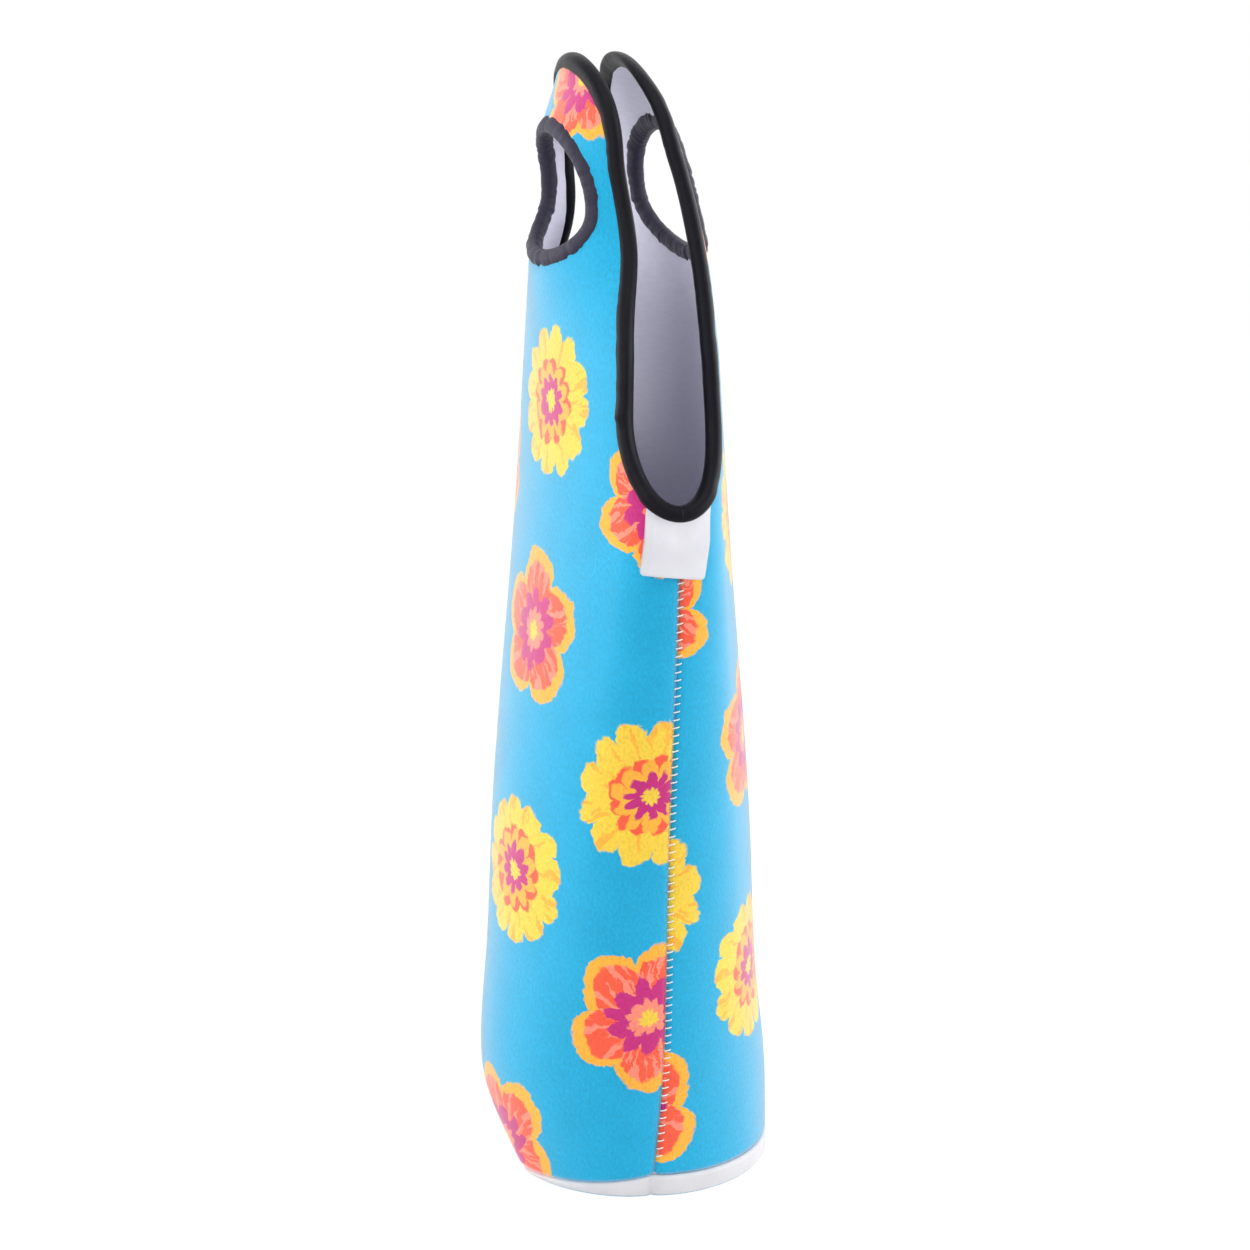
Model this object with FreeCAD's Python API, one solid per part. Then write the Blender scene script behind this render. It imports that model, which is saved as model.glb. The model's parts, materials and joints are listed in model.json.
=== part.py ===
"""Neoprene bottle carrier: two sewn panels with hand-hole tabs, an oval base and bound edges."""
import FreeCAD
import Part
import math
import os

os.makedirs("parts", exist_ok=True)
Vec = FreeCAD.Vector

# Overall heights, millimetres. +X is the side with the label, -Y is the front panel, +Z is up.
bag_height = 360.0
tab_height = 131.0
belly_height = 27.0
middle_height = 117.0

# Body, outer face: half width (X), half depth (Y) and how round the sides are at each level.
base_half_width = 51.5
base_half_depth = 43.0
base_side_share = 0.95
belly_half_width = 50.5
belly_half_depth = 46.0
belly_side_share = 0.92
middle_half_width = 55.5
middle_half_depth = 41.0
middle_side_share = 0.81
notch_half_width = 64.0
notch_half_depth = 29.6
notch_side_share = 0.61
flex_half_width = 60.0
flex_half_depth = 27.0
flex_side_share = 0.59

# Tabs above the fold line, outer face: depth at the middle and radius of the curl, from the hole up.
front_grip_depth = 27.5
front_grip_curl = 50.0
front_shoulder_depth = 24.4
front_shoulder_curl = 36.0
front_strap_depth = 14.0
front_strap_curl = 47.0
front_top_depth = 7.5
front_top_curl = 50.0
back_grip_depth = 24.6
back_grip_curl = 78.0
back_shoulder_depth = 19.9
back_shoulder_curl = 59.0
back_strap_depth = 15.8
back_strap_curl = 57.0
back_top_depth = 10.5
back_top_curl = 51.0

# The empty mouth leans forward: shift of the two tabs along Y.
shoulder_lean = -2.0
strap_lean = -5.7
top_lean = -9.0

# Neoprene laminate: printed jersey, foam, jersey lining, with a thin bond line between them.
fabric_thickness = 0.4
foam_thickness = 1.9
bond_gap = 0.2
seam_gap = 0.15
flex_gap = 0.3

# Hand hole and the strap of neoprene above it.
strap_height = 22.0
hole_height = 38.0
hole_low_share = 0.37
hole_half_length = 27.7
hole_to_flex = 28.0

# Depth of the rounded notch between the tabs, and radius of a tab's round top.
notch_round = 27.0
tab_top_radius = 37.0

# Folded tape that binds the mouth and the hand holes.
tape_width = 4.2
tape_thickness = 0.75
tape_clearance = 0.3

# Base: flat underside, white rim that is taller at the side seams than at the front.
rim_rise_side = 6.0
rim_rise_front = 2.0
rim_roll = 1.5
base_clearance = 0.3

# Flatlock stitches across the side seams.
stitch_pitch = 2.6
stitch_length = 2.4
stitch_diameter = 0.55
stitch_clearance = 0.15
seam_bottom_margin = 8.0
far_seam_top_margin = 7.0

# Folded label that hangs from the notch binding over the near seam.
label_width = 21.0
label_length = 17.0
label_ply = 0.35
label_fold_gap = 0.4
label_clearance = 0.3

# Values that follow from the sizes above.
laminate = 2 * fabric_thickness + 2 * bond_gap + foam_thickness
notch_height = bag_height - tab_height
hole_top = bag_height - strap_height
hole_bottom = hole_top - hole_height
flex_height = hole_bottom - hole_to_flex
shoulder_height = hole_top - 0.2 * hole_height
strap_level = (hole_top + bag_height) / 2
overshoot = 6.0
far = 200.0

BODY_LEVELS = (
    (0.0, base_half_width, base_half_depth, base_side_share),
    (belly_height, belly_half_width, belly_half_depth, belly_side_share),
    (middle_height, middle_half_width, middle_half_depth, middle_side_share),
    (notch_height, notch_half_width, notch_half_depth, notch_side_share),
    (flex_height, flex_half_width, flex_half_depth, flex_side_share),
)


def between(levels, z):
    """Row of values at height z, on straight lines between the levels and past both ends."""
    k = 0
    while k < len(levels) - 2 and z > levels[k + 1][0]:
        k += 1
    low, high = levels[k], levels[k + 1]
    t = (z - low[0]) / (high[0] - low[0])
    return [a + (b - a) * t for a, b in zip(low[1:], high[1:])]


def slopes(levels, k):
    low, high = levels[max(k - 1, 0)], levels[min(k + 1, len(levels) - 1)]
    return [(b - a) / (high[0] - low[0]) for a, b in zip(low[1:], high[1:])]


def smooth(levels, z):
    """Row of values at height z, on smooth curves through the levels."""
    k = 0
    while k < len(levels) - 2 and z > levels[k + 1][0]:
        k += 1
    low, high = levels[k], levels[k + 1]
    span = high[0] - low[0]
    t = (z - low[0]) / span
    rise = t * t * (3 - 2 * t)
    start, end = span * t * (1 - t) ** 2, span * t * t * (t - 1)
    rows = zip(low[1:], high[1:], slopes(levels, k), slopes(levels, k + 1))
    return [a + (b - a) * rise + p * start + q * end for a, b, p, q in rows]


def spread(low, high, count):
    return [low + (high - low) * k / (count - 1) for k in range(count)]


def arc(start, middle, end):
    return Part.Arc(start, middle, end).toShape()


def line(start, end):
    return Part.LineSegment(start, end).toShape()


# Body section: an oval of four arcs, a flat one at front and back and a round one at each side
class Oval:
    def __init__(self, wide, deep, share):
        self.wide = wide
        self.deep = deep
        self.side_radius = share * min(wide, deep)
        self.side_centre = wide - self.side_radius
        rest = deep - self.side_radius
        self.front_centre = (self.side_centre ** 2 - rest ** 2) / (2 * rest)
        self.front_radius = deep + self.front_centre
        reach = math.hypot(self.side_centre, self.front_centre)
        self.joint = (self.side_centre / reach, self.front_centre / reach)

    def joint_point(self, depth):
        """Where the side arc meets the front arc, for x and y positive."""
        radius = self.side_radius - depth
        return self.side_centre + radius * self.joint[0], radius * self.joint[1]

    def across(self, y, depth):
        """Half width at y of the face that lies depth inside the outer face."""
        if y <= self.joint_point(depth)[1]:
            return self.side_centre + math.sqrt((self.side_radius - depth) ** 2 - y ** 2)
        return math.sqrt((self.front_radius - depth) ** 2 - (y + self.front_centre) ** 2)

    def foot(self, x, y):
        """Nearest point of the outer face and its normal, for x and y positive."""
        from_side = (x - self.side_centre, y)
        if from_side[0] * self.joint[1] > from_side[1] * self.joint[0]:
            centre, radius = (self.side_centre, 0.0), self.side_radius
        else:
            centre, radius = (0.0, -self.front_centre), self.front_radius
        run = (x - centre[0], y - centre[1])
        size = math.hypot(*run)
        normal = (run[0] / size, run[1] / size)
        return (centre[0] + radius * normal[0], centre[1] + radius * normal[1]), normal


def oval_at(z):
    return Oval(*between(BODY_LEVELS, z))


def half_oval(z, depth, side):
    """Three arcs of one half of the body's section, from the far seam to the near seam."""
    oval = oval_at(z)

    def place(x, y):
        return Vec(x, side * (y + seam_gap), z)

    joint_x, joint_y = oval.joint_point(depth)
    half_turn = math.atan2(oval.joint[1], oval.joint[0]) / 2
    radius = oval.side_radius - depth
    bow_x = oval.side_centre + radius * math.cos(half_turn)
    bow_y = radius * math.sin(half_turn)
    seam = oval.wide - depth
    far_side = arc(place(-seam, 0), place(-bow_x, bow_y), place(-joint_x, joint_y))
    front = arc(place(-joint_x, joint_y), place(0, oval.deep - depth), place(joint_x, joint_y))
    near_side = arc(place(joint_x, joint_y), place(bow_x, bow_y), place(seam, 0))
    return [far_side, front, near_side]


# Tab section: one arc, curled more on the front tab than on the back one
FRONT, BACK = -1, 1
FLEX_OVAL = oval_at(flex_height)
FLEX_EDGE = FLEX_OVAL.joint_point(0.0)
FLEX_LENGTH = FLEX_OVAL.front_radius * math.asin(FLEX_OVAL.joint[0])
FLEX_LEVEL = (flex_height, flex_half_depth, FLEX_OVAL.front_radius, 0.0)
TAB_LEVELS = {
    FRONT: (
        FLEX_LEVEL,
        (hole_bottom, front_grip_depth, front_grip_curl, 0.0),
        (shoulder_height, front_shoulder_depth, front_shoulder_curl, shoulder_lean),
        (strap_level, front_strap_depth, front_strap_curl, strap_lean),
        (bag_height, front_top_depth, front_top_curl, top_lean),
    ),
    BACK: (
        FLEX_LEVEL,
        (hole_bottom, back_grip_depth, back_grip_curl, 0.0),
        (shoulder_height, back_shoulder_depth, back_shoulder_curl, shoulder_lean),
        (strap_level, back_strap_depth, back_strap_curl, strap_lean),
        (bag_height, back_top_depth, back_top_curl, top_lean),
    ),
}


class Bow:
    def __init__(self, z, side):
        deep, self.radius, self.lean = smooth(TAB_LEVELS[side], z)
        self.centre = deep - self.radius
        self.z = z
        self.side = side

    def point(self, length, depth):
        """Place at a length from the middle, on the face that lies depth inside the outer face."""
        turn = length / self.radius
        radius = self.radius - depth
        y = self.centre + radius * math.cos(turn) + seam_gap
        return Vec(radius * math.sin(turn), self.lean + self.side * y, self.z)

    def foot(self, point):
        """Nearest point of the outer face and its normal."""
        run = Vec(point.x, self.side * (point.y - self.lean) - seam_gap - self.centre, 0).normalize()
        foot = Vec(self.radius * run.x, self.centre + self.radius * run.y + seam_gap, self.z)
        foot.y = self.lean + self.side * foot.y
        return foot, Vec(run.x, self.side * run.y, 0)


def tab_bow(length, z, depth, side):
    """One arc of a tab's section that reaches to a length on both sides of the middle."""
    bow = Bow(z, side)
    return [arc(bow.point(-length, depth), bow.point(0, depth), bow.point(length, depth))]


# Layers of the laminate
def ring_wire(outer, inner):
    """Closed outline of a layer from its outer and inner arcs."""
    outer_wire, inner_wire = Part.Wire(outer), Part.Wire(inner)
    first = line(outer[0].firstVertex(True).Point, inner[0].firstVertex(True).Point)
    last = line(outer[-1].lastVertex(True).Point, inner[-1].lastVertex(True).Point)
    return Part.Wire(Part.__sortEdges__(outer_wire.Edges + [last] + inner_wire.Edges + [first]))


def layer(sections):
    """Ruled slab through sections, each given as its (outer, inner) arcs."""
    return Part.makeLoft([ring_wire(*section) for section in sections], True, True)


# Cutting shapes shared by all layers
def prism(edges, along):
    return Part.Face(Part.Wire(Part.__sortEdges__(edges))).extrude(along)


def below_rim(lift):
    """Everything lower than the panels' lower edge, moved by lift."""
    left = Vec(-base_half_width, -far, rim_rise_side + lift)
    right = Vec(base_half_width, -far, rim_rise_side + lift)
    middle = Vec(0, -far, rim_rise_front + lift)
    outer_left, outer_right = Vec(-far, -far, left.z), Vec(far, -far, right.z)
    low_left, low_right = Vec(-far, -far, -far), Vec(far, -far, -far)
    edges = [arc(left, middle, right), line(right, outer_right), line(outer_right, low_right)]
    edges += [line(low_right, low_left), line(low_left, outer_left), line(outer_left, left)]
    return prism(edges, Vec(0, 2 * far, 0))


def notch_edge(angle):
    """Side view of the notch at a quarter-turn angle: half gap and height."""
    turn = math.radians(angle)
    z = notch_height + notch_round * (1 - math.cos(turn))
    return oval_at(z).joint_point(0.0)[1] * math.sin(turn), z


NOTCH_STEPS = 10


def notch_points():
    """Side view of one notch edge as (y, z), from the front panel round to the back panel."""
    back = [notch_edge(angle) for angle in spread(0, 90, NOTCH_STEPS)]
    back.append((FLEX_EDGE[1], flex_height))
    past = flex_height + overshoot
    back.append((FLEX_EDGE[1], past))
    front = [(-y, z) for y, z in back]
    return front[:0:-1] + back


def notch_cutter():
    points = [Vec(-far, y, z) for y, z in notch_points()]
    edges = [line(points[k], points[k + 1]) for k in range(len(points) - 1)]
    edges.append(line(points[-1], points[0]))
    return prism(edges, Vec(2 * far, 0, 0))


SIDE_STEPS = 7
TOP_STEPS = 10
TOP_TURN = math.radians(88)


def tab_cut():
    """Flat cut of a tab's edge as (length from the middle, height), from the fold line to the top."""
    centre = bag_height - tab_top_radius
    run = (FLEX_LENGTH, flex_height - centre)
    lean = math.atan2(run[1], run[0]) + math.acos(tab_top_radius / math.hypot(*run))
    turns = spread(lean, TOP_TURN, TOP_STEPS)
    top = [(tab_top_radius * math.cos(t), centre + tab_top_radius * math.sin(t)) for t in turns]
    low = (FLEX_LENGTH, flex_height)
    side = [tuple(a + (b - a) * share for a, b in zip(low, top[0])) for share in spread(0, 1, SIDE_STEPS)]
    return side[:-1] + top


HOLE_STEPS = 30


def hole_outline():
    """Flat cut of a hand hole as (length from the middle, height): shallow below, arched above."""
    low = hole_low_share * hole_height
    centre = hole_bottom + low
    points = []
    for turn in spread(0, 2 * math.pi, HOLE_STEPS + 1)[:-1]:
        rise = hole_height - low if math.sin(turn) > 0 else low
        points.append((hole_half_length * math.cos(turn), centre + rise * math.sin(turn)))
    return points


def on_tab(outline, side, depth):
    """Points of a flat outline, wrapped on to a face of a tab."""
    return [Bow(z, side).point(length, depth) for length, z in outline]


def triangle(*corners):
    return Part.Face(Part.makePolygon(corners + corners[:1]))


def solid_of(faces):
    shell = Part.makeShell(faces)
    shell.sewShape()
    solid = Part.makeSolid(shell)
    if solid.Volume < 0:
        solid.reverse()
    return solid


def hole_plug(side):
    """Cutter with walls square to the cloth; it ends in a point outside and is flat inside."""
    outside = on_tab(hole_outline(), side, -overshoot / 4)
    inside = on_tab(hole_outline(), side, laminate + overshoot / 4)
    tip = Vec(0, side * far, hole_bottom + hole_height / 2)
    middle = sum(inside, Vec()) / len(inside)
    faces = []
    for k in range(HOLE_STEPS):
        n = (k + 1) % HOLE_STEPS
        faces.append(triangle(outside[k], outside[n], tip))
        faces.append(triangle(inside[k], inside[n], middle))
        faces.append(Part.makeRuledSurface(line(outside[k], outside[n]), line(inside[k], inside[n])))
    return solid_of(faces)


# Panels and tabs
PLIES = (
    ("face_fabric", 0.0, fabric_thickness),
    ("foam", fabric_thickness + bond_gap, laminate - fabric_thickness - bond_gap),
    ("lining", laminate - fabric_thickness, laminate),
)
SIDES = (("front", FRONT), ("back", BACK))


def panel_layer(side, outer_depth, inner_depth):
    heights = [level[0] for level in BODY_LEVELS]
    heights[-1] -= flex_gap / 2
    sections = [(half_oval(z, outer_depth, side), half_oval(z, inner_depth, side)) for z in heights]
    return layer(sections).cut(below_rim(0.0)).cut(notch_cutter())


def handle_layer(side, outer_depth, inner_depth):
    rows = tab_cut()
    rows[0] = (FLEX_LENGTH, flex_height + flex_gap / 2)
    sections = [(tab_bow(*row, outer_depth, side), tab_bow(*row, inner_depth, side)) for row in rows]
    return layer(sections).cut(hole_plug(side))


# Folded tape: a channel that wraps an edge of the laminate
def tape_profile():
    """Corners of the folded tape as (distance inward from the edge, depth below the outer face)."""
    inside = tape_clearance
    outside = tape_clearance + tape_thickness
    fold = 0.8 * tape_thickness
    return (
        (tape_width, -outside), (fold - outside, -outside), (-outside, fold - outside),
        (-outside, laminate + outside - fold), (fold - outside, laminate + outside),
        (tape_width, laminate + outside), (tape_width, laminate + inside),
        (-inside, laminate + inside), (-inside, -inside), (tape_width, -inside),
    )


def tape_end(ring):
    """Triangles that close the end of the channel."""
    a, b, c, d, e, f, g, h, i, j = ring
    corners = ((a, b, i), (a, i, j), (b, c, i), (c, d, i), (d, h, i), (d, e, h), (e, f, h), (f, g, h))
    return [triangle(*three) for three in corners]


def body_foot(point):
    """Outer face of the body nearest to a point at its own height, with the normal there."""
    side_x = math.copysign(1.0, point.x)
    side_y = math.copysign(1.0, point.y)
    foot, normal = oval_at(point.z).foot(abs(point.x), abs(point.y))
    place = Vec(side_x * foot[0], side_y * (foot[1] + seam_gap), point.z)
    return place, Vec(side_x * normal[0], side_y * normal[1], 0)


def notch_edge_at(point, depth):
    """Place of the notch's edge on a deeper face: the cut runs along X."""
    x = oval_at(point.z).across(abs(point.y), depth)
    return Vec(math.copysign(x, point.x), point.y, point.z)


def tape_ring(point, tangent, inward_hint, foot_of, edge_at):
    """Corners of the tape at one place of an edge."""
    corners = []
    for inset, depth in tape_profile():
        start = edge_at(point, depth)
        inward = tangent.cross(foot_of(start)[1]).normalize()
        if inward.dot(inward_hint) < 0:
            inward = inward * -1.0
        foot, face_normal = foot_of(start + inward * inset)
        corners.append(foot - face_normal * depth)
    return corners


def tape(points, inward, foot_of, edge_at, closed):
    """Tape solid along the points of an edge; inward gives a rough direction into the cloth."""
    count = len(points)
    rings = []
    for k, point in enumerate(points):
        before = points[k - 1] if closed or k > 0 else point
        after = points[(k + 1) % count] if closed or k < count - 1 else point
        rings.append(tape_ring(point, (after - before).normalize(), inward(point), foot_of, edge_at))
    faces = []
    for k in range(count if closed else count - 1):
        here, there = rings[k], rings[(k + 1) % count]
        for c in range(len(here)):
            d = (c + 1) % len(here)
            faces.append(Part.makeRuledSurface(line(here[c], there[c]), line(here[d], there[d])))
    if not closed:
        faces += tape_end(rings[0]) + tape_end(rings[-1])
    return solid_of(faces)


def above(z):
    return Part.makeBox(2 * far, 2 * far, far, Vec(-far, -far, z))


def tab_tape(points, side, inward, closed):
    def foot(point):
        return Bow(point.z, side).foot(point)

    def edge_at(point, depth):
        return point

    return tape(points, inward, foot, edge_at, closed)


def rim_binding(side):
    near = tab_cut()
    far_side = [(-length, z) for length, z in reversed(near)]
    points = on_tab(near + far_side, side, 0.0)
    first = points[0] - (points[1] - points[0])
    last = points[-1] - (points[-2] - points[-1])
    strip = tab_tape([first] + points + [last], side, lambda p: Vec(-p.x, 0, hole_bottom - p.z), False)
    return strip.common(above(flex_height + flex_gap / 2))


def notch_binding(sign):
    points = [Vec(sign * oval_at(z).across(abs(y), 0.0), y, z) for y, z in notch_points()]

    def inward(p):
        return Vec(0, 3 * p.y, notch_height - notch_round - p.z)

    strip = tape(points, inward, body_foot, notch_edge_at, False)
    return strip.cut(above(flex_height - flex_gap / 2))


def hole_binding(side):
    points = on_tab(hole_outline(), side, 0.0)
    middle = hole_bottom + hole_low_share * hole_height
    return tab_tape(points, side, lambda p: Vec(p.x, 0, p.z - middle), True)


# Base
def base_outline(inset, z):
    oval = Oval(base_half_width, base_half_depth, base_side_share)
    joint_x, joint_y = oval.joint_point(inset)
    seam, front = oval.wide - inset, oval.deep - inset
    edges = [
        arc(Vec(joint_x, -joint_y, z), Vec(seam, 0, z), Vec(joint_x, joint_y, z)),
        arc(Vec(joint_x, joint_y, z), Vec(0, front, z), Vec(-joint_x, joint_y, z)),
        arc(Vec(-joint_x, joint_y, z), Vec(-seam, 0, z), Vec(-joint_x, -joint_y, z)),
        arc(Vec(-joint_x, -joint_y, z), Vec(0, -front, z), Vec(joint_x, -joint_y, z)),
    ]
    return Part.Wire(edges)


def base_plate(inset, low, high):
    return Part.Face(base_outline(inset, low)).extrude(Vec(0, 0, high - low))


def base_block(inset, floor, roll):
    """Block with a rolled lower edge, taller than the rim."""
    block = base_plate(inset, floor, 2 * rim_rise_side)
    lower = [edge for edge in block.Edges if edge.BoundBox.ZMax < floor + roll / 2]
    return block.makeFillet(roll, lower)


def base_layers():
    rim = below_rim(-base_clearance)
    inside = laminate + base_clearance
    foam_low = fabric_thickness + bond_gap
    foam_high = foam_low + foam_thickness
    cover_low = foam_high + bond_gap
    outer = base_block(0.0, 0.0, rim_roll)
    skin = outer.cut(base_block(fabric_thickness, fabric_thickness, rim_roll - fabric_thickness)).common(rim)
    core = base_block(foam_low, foam_low, rim_roll - foam_low)
    floor = base_plate(inside, foam_low, foam_high)
    ring = core.cut(base_plate(inside, 0.0, far)).common(rim)
    cover = base_plate(inside, cover_low, cover_low + fabric_thickness)
    return {"base_face_fabric": skin, "base_foam": floor.fuse(ring).removeSplitter(), "base_lining": cover}


# Seam stitches and label
def stitches(sign, top):
    """Short bars of thread across one side seam, just off the outer face."""
    bars = []
    z = rim_rise_side + seam_bottom_margin
    radius = stitch_diameter / 2
    while z < top:
        x = between(BODY_LEVELS, z)[0] + stitch_clearance + radius
        corner = Vec(sign * x - radius, -stitch_length / 2, z - radius)
        bars.append(Part.makeBox(stitch_diameter, stitch_length, stitch_diameter, corner))
        z += stitch_pitch
    return Part.makeCompound(bars)


def label_top():
    return notch_height - tape_width - label_clearance


def woven_label():
    """Strip folded once at its lower edge; both plies hang from the notch binding."""
    top = label_top()
    low = top - label_length
    inner = between(BODY_LEVELS, top)[0] + label_clearance
    thick = 2 * label_ply + label_fold_gap
    outline = [
        (inner, top), (inner, low + thick / 2), (inner + thick / 2, low), (inner + thick, low + thick / 2),
        (inner + thick, top), (inner + thick - label_ply, top), (inner + thick - label_ply, low + thick),
        (inner + label_ply, low + thick), (inner + label_ply, top),
    ]
    points = [Vec(x, -label_width / 2, z) for x, z in outline]
    return Part.Face(Part.makePolygon(points + points[:1])).extrude(Vec(0, label_width, 0))


def build():
    parts = base_layers()
    for name, side in SIDES:
        for ply, outer_depth, inner_depth in PLIES:
            parts[name + "_panel_" + ply] = panel_layer(side, outer_depth, inner_depth)
            parts[name + "_handle_" + ply] = handle_layer(side, outer_depth, inner_depth)
        parts[name + "_rim_binding"] = rim_binding(side)
        parts[name + "_hole_binding"] = hole_binding(side)
    parts["near_notch_binding"] = notch_binding(1)
    parts["far_notch_binding"] = notch_binding(-1)
    parts["near_seam_thread"] = stitches(1, label_top() - label_length - stitch_pitch)
    parts["far_seam_thread"] = stitches(-1, notch_height - far_seam_top_margin)
    parts["woven_label"] = woven_label()
    return parts


for node, shape in build().items():
    shape.exportStep(os.path.join("parts", node + ".step"))
    print(node, shape.isValid(), len(shape.Solids), round(shape.Volume, 1))
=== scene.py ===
"""Looks of the neoprene bottle carrier: printed panels, bound edges, seam stitches, label and base."""
import json
import math
from bisect import bisect_right

import bmesh
import bpy
import numpy as np
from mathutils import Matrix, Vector

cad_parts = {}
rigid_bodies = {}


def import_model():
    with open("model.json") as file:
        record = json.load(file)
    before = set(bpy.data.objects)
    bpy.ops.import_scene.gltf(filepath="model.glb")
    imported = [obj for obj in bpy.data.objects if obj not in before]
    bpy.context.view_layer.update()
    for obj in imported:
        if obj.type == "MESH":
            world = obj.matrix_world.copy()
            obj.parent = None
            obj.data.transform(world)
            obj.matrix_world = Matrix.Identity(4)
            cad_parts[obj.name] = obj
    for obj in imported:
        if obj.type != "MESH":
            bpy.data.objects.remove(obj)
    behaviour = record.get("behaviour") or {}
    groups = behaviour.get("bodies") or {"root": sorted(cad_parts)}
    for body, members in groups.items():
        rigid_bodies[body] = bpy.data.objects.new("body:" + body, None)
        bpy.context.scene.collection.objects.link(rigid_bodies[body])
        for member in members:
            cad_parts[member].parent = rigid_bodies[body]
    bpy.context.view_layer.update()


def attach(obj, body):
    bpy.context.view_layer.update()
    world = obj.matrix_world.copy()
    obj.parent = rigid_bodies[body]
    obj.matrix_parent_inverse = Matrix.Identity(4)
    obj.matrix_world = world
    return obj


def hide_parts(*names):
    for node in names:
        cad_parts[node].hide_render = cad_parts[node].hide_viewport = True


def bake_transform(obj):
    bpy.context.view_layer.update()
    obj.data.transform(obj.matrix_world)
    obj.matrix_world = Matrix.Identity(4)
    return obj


# Heights in millimetres, as in the solids. +X is the side with the label, -Y the front panel.
bag_height = 360.0
notch_height = 229.0
flex_height = 272.0
notch_round = 27.0
tab_top_radius = 37.0
hole_bottom = 300.0
hole_height = 38.0
hole_low_share = 0.37
hole_half_length = 27.7

# Laminate, its gaps at the seams and the rounding of its sewn edges.
laminate = 3.1
seam_gap = 0.02
seam_dip = 1.1
seam_round = 0.9
seam_pull = 1.2
seam_pull_reach = 7.0
rim_rise_side = 7.2
rim_rise_front = 0.6
rim_rise_back = 6.4
rim_fade = 40.0
ply_gap = 0.05
seam_dip_fade = 6.0
valley_fade = (2.0, 30.0)

# How the standing bag has settled: base pushed back, seams wandered, front corner pressed in.
slump_depth = 3.4
slump_height = 62.0
twist_length = 8.2
tuck_height = 28.0
tuck_reach = 31.8
tuck_margin = 2.0
tuck_direction = (0.292, 0.956)

# Folded tape: a bead that grips the edge of the laminate.
mouth_tape_half_width = 2.65
mouth_tape_swell = 1.0
hole_tape_half_width = 2.75
hole_tape_swell = 0.9
tape_overhang = 1.2
tape_squareness = 2.3
join_height = 258.0
join_length = 7.0
join_swell = 0.8
pucker_pitch = 3.1
pucker_depth = 0.24
tape_wave = 9.0
tape_unevenness = 0.07
label_lift = 0.6
label_lift_reach = (9.0, 12.0)
notch_calm = 15.0
tape_end_step = 0.3
hole_margin = 2.0
hole_joint_depth = 0.5
hole_joint_place = 6.0
hole_joint_width = 0.7

# Stitches and label.
stitch_pitch = 2.6
stitch_reach = 1.05
stitch_radius = 0.22
stitch_slope = 0.2
stitch_rise = 0.55
stitch_sink = 0.4
stitch_drift = 0.9
seam_low = 14.0
near_seam_high = 208.0
far_seam_high = 222.0
label_width = 20.4
label_top = 226.0
label_low = 208.4
label_tilt = 0.14
label_corner = 1.3
label_top_rise = 4.5
label_bow = 1.1
label_hem = 0.12
label_fold_share = 0.955

# Base.
base_inset = 0.2
base_roll = 1.1
seam_crease = 0.7
seam_crease_width = 1.1
floor_level = 3.3
floor_thickness = 0.8
floor_crown = 0.5
floor_clearance = 0.4

# Half width, half depth and roundness of the sides of the body at each height.
BODY_LEVELS = (
    (0.0, 51.3, 45.2, 0.96),
    (27.0, 50.8, 47.2, 0.92),
    (70.0, 52.8, 43.7, 0.87),
    (117.0, 55.5, 41.0, 0.81),
    (notch_height, 64.0, 29.6, 0.61),
    (flex_height, 60.0, 27.0, 0.59),
)
# Depth at the middle, radius of the curl and forward lean of each tab, from the hole up.
FRONT, BACK = -1, 1
TAB_LEVELS = {
    FRONT: (
        (hole_bottom, 27.5, 50.0, 0.0),
        (330.4, 24.4, 36.0, -2.0),
        (349.0, 14.0, 47.0, -5.7),
        (bag_height, 7.5, 50.0, -9.0),
    ),
    BACK: (
        (hole_bottom, 23.9, 95.0, 0.0),
        (330.4, 19.2, 75.0, -2.0),
        (349.0, 15.3, 68.0, -5.7),
        (bag_height, 10.5, 55.0, -9.0),
    ),
}
SIDES = (("front", FRONT), ("back", BACK))
MM = 0.001


def hermite(levels):
    """Smooth curves through the levels; the result takes a height and gives its row of values."""
    table = np.array(levels)
    heights = list(table[:, 0])
    slopes = np.gradient(table[:, 1:], table[:, 0], axis=0)

    def at(z):
        k = min(max(bisect_right(heights, z) - 1, 0), len(heights) - 2)
        span = heights[k + 1] - heights[k]
        t = (z - heights[k]) / span
        rise = t * t * (3 - 2 * t)
        values = table[k, 1:] * (1 - rise) + table[k + 1, 1:] * rise
        return values + span * (slopes[k] * t * (1 - t) ** 2 + slopes[k + 1] * t * t * (t - 1))

    return at


def soft_step(value, low, high):
    t = min(max((value - low) / (high - low), 0.0), 1.0)
    return t * t * (3 - 2 * t)


body_at = hermite(BODY_LEVELS)


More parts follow.
